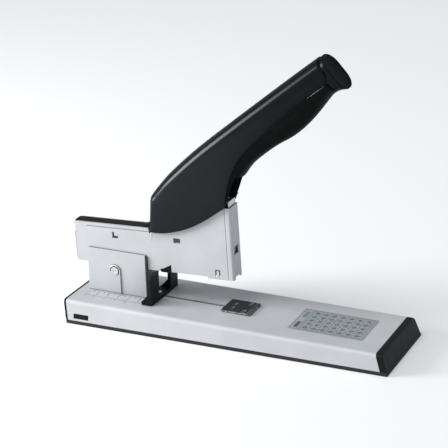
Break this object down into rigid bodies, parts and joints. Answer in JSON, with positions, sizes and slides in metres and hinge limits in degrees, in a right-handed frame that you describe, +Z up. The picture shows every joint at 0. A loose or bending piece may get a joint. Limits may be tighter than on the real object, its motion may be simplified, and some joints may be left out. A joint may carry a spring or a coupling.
{
  "type": "heavy duty stapler",
  "caption": "Heavy duty desk stapler: wedge base with turning anvil and sliding depth guide, sprung head with magazine and driver, and a long lever handle.",
  "frame": {"origin": "middle of the flat underside of the anti-slip pad", "axes": "+X towards the front cap, +Y to the left side of the stapler, +Z up"},
  "size_m": [0.2973, 0.0854, 0.2445],
  "materials": {
    "silver_paint": "satin silver paint on folded sheet",
    "bright_steel": "plain rolled steel",
    "dark_steel": "blackened steel",
    "black_plastic": "fine grained",
    "handle_plastic": "satin",
    "grip_rubber": "soft matt",
    "pad_rubber": "ribbed",
    "label_foil": "printed film"
  },
  "bodies": {
    "root": {"base_cover": "silver_paint", "floor_plate": "bright_steel", "anti_slip_pad": "pad_rubber", "front_cap": "black_plastic", "rear_cap": "black_plastic", "side_badge": "black_plastic", "base_beam": "bright_steel", "base_screws": "bright_steel", "hinge_bracket": "silver_paint", "bracket_rivets": "bright_steel", "head_pin": "bright_steel", "pin_clip": "bright_steel", "head_spring": "bright_steel", "anvil_seat": "bright_steel", "anvil_spring": "bright_steel", "spec_label": "label_foil"},
    "anvil": {"anvil_plate": "dark_steel", "anvil_stem": "bright_steel", "anvil_clip": "bright_steel"},
    "depth_guide": {"guide_fence": "black_plastic", "guide_clamp": "bright_steel", "guide_screw": "bright_steel"},
    "head": {"side_plate_right": "silver_paint", "side_plate_left": "silver_paint", "magazine_channel": "silver_paint", "nose_plate": "silver_paint", "staple_rail": "bright_steel", "staple_strip": "bright_steel", "head_bumper": "black_plastic", "pusher_rod": "bright_steel", "rear_plug": "black_plastic", "plate_rivets": "bright_steel", "pusher_spring": "bright_steel", "handle_pin": "bright_steel", "handle_spring": "bright_steel"},
    "feed_cover": {"feed_cover": "black_plastic"},
    "pusher": {"pusher": "bright_steel"},
    "driver": {"driver_blade": "bright_steel", "driver_cap": "black_plastic"},
    "handle": {"handle_lever": "bright_steel", "push_pin": "bright_steel", "handle_shell": "handle_plastic", "rubber_grip": "grip_rubber", "end_cap": "handle_plastic", "handle_screws": "bright_steel"}
  },
  "joints": [
    {"name": "head_pivot", "type": "hinge", "parent": "root", "child": "head", "pos_m": [-0.1123, 0, 0.04079], "axis": [0, 1, 0], "range_deg": [0, 13], "stiffness_Nm_per_rad": 1.2, "springref_deg": -51.57, "deforming": ["head_spring"]},
    {"name": "handle_pivot", "type": "hinge", "parent": "head", "child": "handle", "pos_m": [-0.06868, 0, 0.09535], "axis": [0, 1, 0], "range_deg": [0, 28.3], "stiffness_Nm_per_rad": 0.5, "springref_deg": -51.57, "deforming": ["handle_spring"]},
    {"name": "driver_slide", "type": "slide", "parent": "head", "child": "driver", "axis": [0.0349, 0, -0.9994], "range_m": [0, 0.0286]},
    {"name": "pusher_slide", "type": "slide", "parent": "head", "child": "pusher", "axis": [-0.9994, 0, -0.0349], "range_m": [0, 0.05], "stiffness_N_per_m": 60, "springref_m": -0.12, "deforming": ["pusher_spring"]},
    {"name": "feed_cover_slide", "type": "slide", "parent": "head", "child": "feed_cover", "axis": [-0.9994, 0, -0.0349], "range_m": [0, 0.055]},
    {"name": "guide_slide", "type": "slide", "parent": "root", "child": "depth_guide", "axis": [0.9999, 0, -0.0124], "range_m": [0, 0.046]},
    {"name": "anvil_turn", "type": "hinge", "parent": "root", "child": "anvil", "pos_m": [0.0005, 0, 0.01859], "axis": [0.0124, 0, 0.9999], "range_deg": [0, 180]}
  ],
  "couplings": [
    {"joint": "driver_slide", "follows": "handle_pivot", "m_per_rad": 0.05741}
  ]
}
